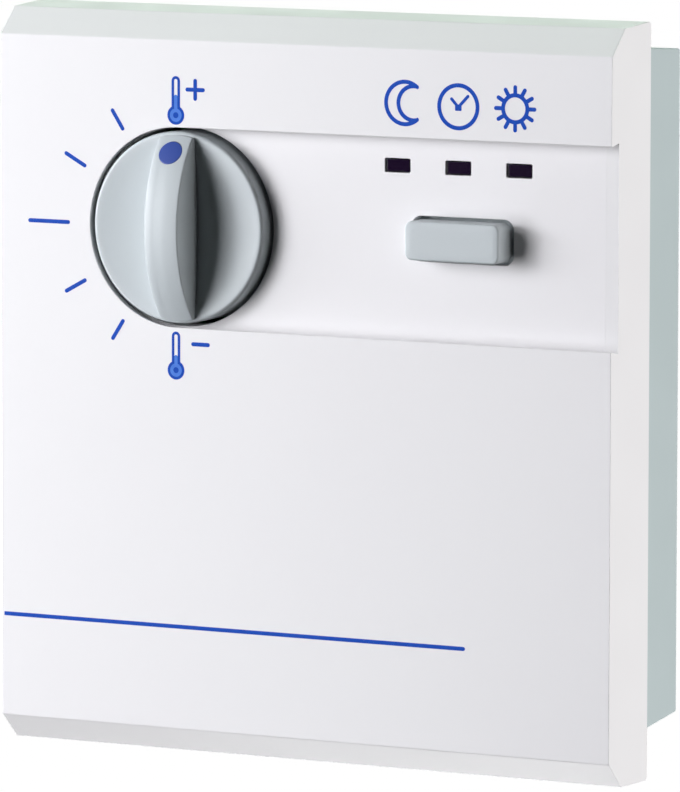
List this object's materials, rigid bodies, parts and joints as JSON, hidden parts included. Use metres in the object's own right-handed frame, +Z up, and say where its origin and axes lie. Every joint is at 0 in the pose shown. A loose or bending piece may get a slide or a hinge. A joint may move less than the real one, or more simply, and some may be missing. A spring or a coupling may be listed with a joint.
{
  "type": "wall thermostat",
  "caption": "Square wall room thermostat: white clip-on cover over a grey wall base, turning setpoint knob, push button and indicator windows in a recessed band.",
  "frame": {"origin": "on the wall plane, behind the middle of the cover's outline", "axes": "+X right as seen from the room, +Z up, +Y into the wall, so the front faces -Y"},
  "size_m": [0.092, 0.0345, 0.1],
  "materials": {
    "cover_white": "moulded ABS, fine satin texture",
    "base_grey": "moulded ABS, satin grey-green",
    "knob_grey": "moulded ABS, satin cool grey",
    "pointer_blue": "moulded insert, and printed ink of the same colour",
    "smoked_lens": "smoked acrylic, polished",
    "board_green": "glass-epoxy board with solder mask",
    "black_plastic": "moulded phenolic",
    "terminal_green": "moulded nylon",
    "brass": "turned",
    "steel": "zinc plated",
    "can_sleeve": "shrink sleeve over an aluminium can",
    "film_yellow": "resin-filled box",
    "sensor_resin": "dipped epoxy bead",
    "clear_resin": "clear epoxy lamp",
    "resistor_beige": "lacquered ceramic"
  },
  "bodies": {
    "base": {"wall_base": "base_grey", "circuit_board": "board_green", "control_panel": "cover_white", "potentiometer_body": "black_plastic", "potentiometer_bush": "brass", "switch_body": "black_plastic", "terminal_block": "terminal_green", "terminal_screw_1": "steel", "terminal_screw_2": "steel", "terminal_screw_3": "steel", "terminal_screw_4": "steel", "board_screw_1": "steel", "board_screw_2": "steel", "board_screw_3": "steel", "board_screw_4": "steel", "controller_chip": "black_plastic", "smoothing_capacitor": "can_sleeve", "film_capacitor": "film_yellow", "room_sensor": "sensor_resin", "led_left": "clear_resin", "led_middle": "clear_resin", "led_right": "clear_resin", "led_window_left": "smoked_lens", "led_window_middle": "smoked_lens", "led_window_right": "smoked_lens", "led_resistor_left": "resistor_beige", "led_resistor_middle": "resistor_beige", "led_resistor_right": "resistor_beige"},
    "knob": {"setpoint_knob": "knob_grey", "pointer_dot": "pointer_blue", "knob_clip": "steel", "potentiometer_shaft": "brass"},
    "button": {"mode_button": "knob_grey"},
    "plunger": {"switch_plunger": "black_plastic"},
    "cover": {"front_cover": "cover_white"}
  },
  "joints": [
    {"name": "knob_turn", "type": "hinge", "parent": "base", "child": "knob", "pos_m": [-0.0186, -0.0295, 0.02135], "axis": [0, -1, 0], "range_deg": [0, 180]},
    {"name": "button_press", "type": "slide", "parent": "base", "child": "button", "axis": [0, 1, 0], "range_m": [0, 0.0009], "stiffness_N_per_m": 1500, "springref_m": -0.0003},
    {"name": "plunger_travel", "type": "slide", "parent": "base", "child": "plunger", "axis": [0, 1, 0], "range_m": [0, 0.0009]},
    {"name": "cover_release", "type": "slide", "parent": "base", "child": "cover", "axis": [0, -1, 0], "range_m": [0, 0.045]}
  ],
  "couplings": [
    {"joint": "plunger_travel", "follows": "button_press", "ratio": 1}
  ]
}
